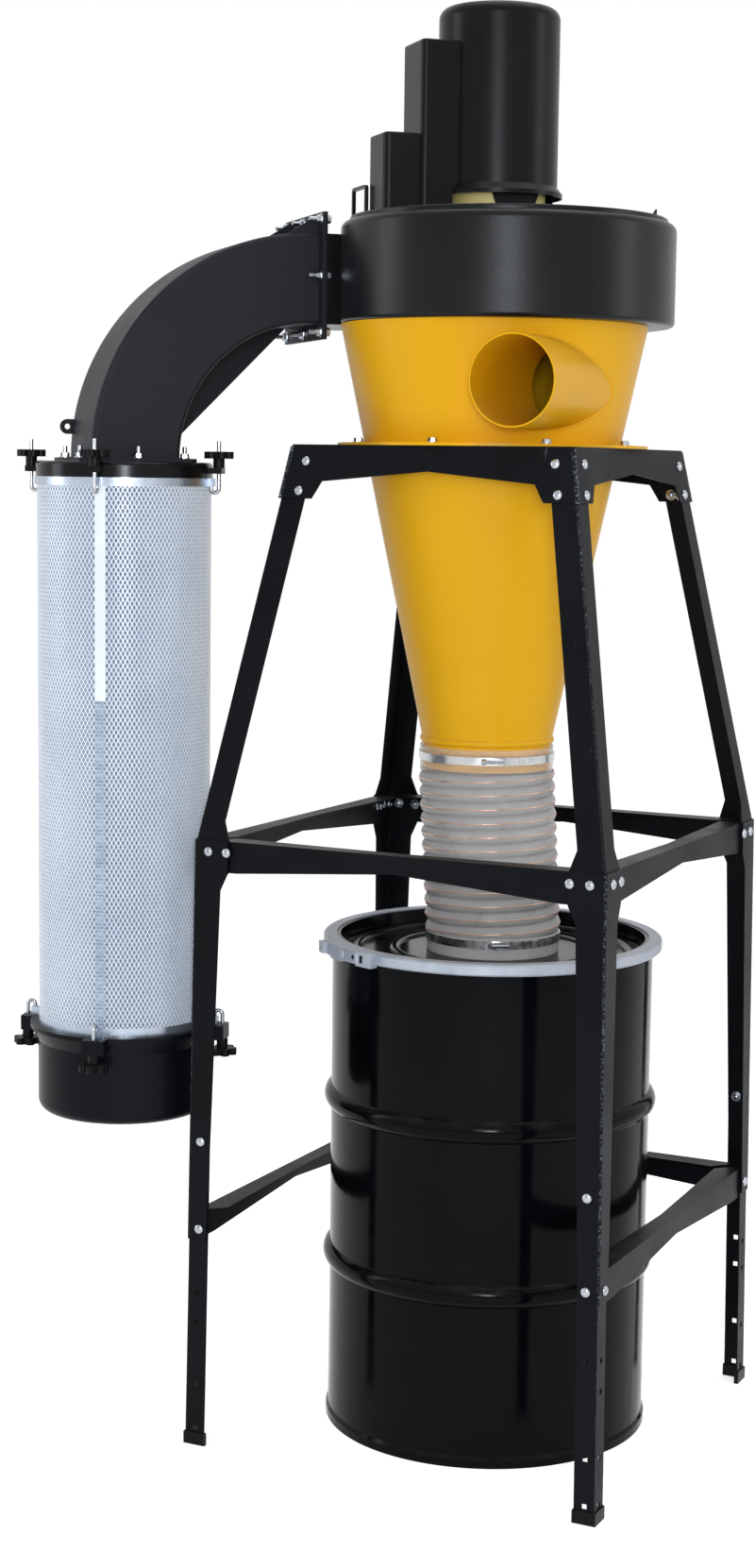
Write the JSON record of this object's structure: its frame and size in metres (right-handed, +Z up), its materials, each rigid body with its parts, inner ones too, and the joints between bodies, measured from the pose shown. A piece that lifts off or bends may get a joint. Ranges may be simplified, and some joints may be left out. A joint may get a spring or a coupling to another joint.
{
  "type": "cyclone separator",
  "caption": "Cyclone dust separator: yellow cone with a blower on top, on a black angle stand, with a side cartridge filter and a lidded steel drum under a clear hose.",
  "frame": {"origin": "middle of the footprint box, on the floor", "axes": "+Z up, -Y out of the front, which is the open side of the stand, +X to the right seen from the front"},
  "size_m": [1.1582, 0.8874, 2.493],
  "materials": {
    "stand_black": "satin",
    "black_plastic": "satin",
    "cyclone_yellow": "satin",
    "gloss_black": "gloss",
    "grey_steel": "satin",
    "bright_steel": "polished",
    "motor_cream": "satin",
    "mesh_white": "satin",
    "filter_paper": "matte",
    "clear_hose": "satin"
  },
  "bodies": {
    "root": {"blower_housing": "gloss_black", "blower_lid": "gloss_black", "clamp_knobs": "black_plastic", "clamp_rods": "bright_steel", "cone_shell": "cyclone_yellow", "cover_brackets": "bright_steel", "drive_box": "black_plastic", "drum_body": "gloss_black", "drum_hose": "clear_hose", "drum_lid": "gloss_black", "drum_ring": "grey_steel", "filter_cap": "gloss_black", "filter_core": "filter_paper", "filter_end_rings": "bright_steel", "filter_mesh": "mesh_white", "filter_pan": "black_plastic", "foot_caps": "black_plastic", "head_shell": "cyclone_yellow", "hose_clamps": "bright_steel", "inlet_pipe": "cyclone_yellow", "leg_extension_back_left": "stand_black", "leg_extension_back_right": "stand_black", "leg_extension_front_left": "stand_black", "leg_extension_front_right": "stand_black", "lifting_lugs": "gloss_black", "lower_brace_back": "stand_black", "lower_brace_left": "stand_black", "lower_brace_right": "stand_black", "lower_leg_back_left": "stand_black", "lower_leg_back_right": "stand_black", "lower_leg_front_left": "stand_black", "lower_leg_front_right": "stand_black", "middle_brace_back": "stand_black", "middle_brace_front": "stand_black", "middle_brace_left": "stand_black", "middle_brace_right": "stand_black", "motor_core": "motor_cream", "motor_cover": "black_plastic", "mounting_flange": "cyclone_yellow", "outlet_elbow": "black_plastic", "ring_lever": "grey_steel", "switch_box": "black_plastic", "top_brace_back": "stand_black", "top_brace_front": "stand_black", "top_brace_left": "stand_black", "top_brace_right": "stand_black", "upper_leg_back_left": "stand_black", "upper_leg_back_right": "stand_black", "upper_leg_front_left": "stand_black", "upper_leg_front_right": "stand_black"}
  },
  "joints": []
}
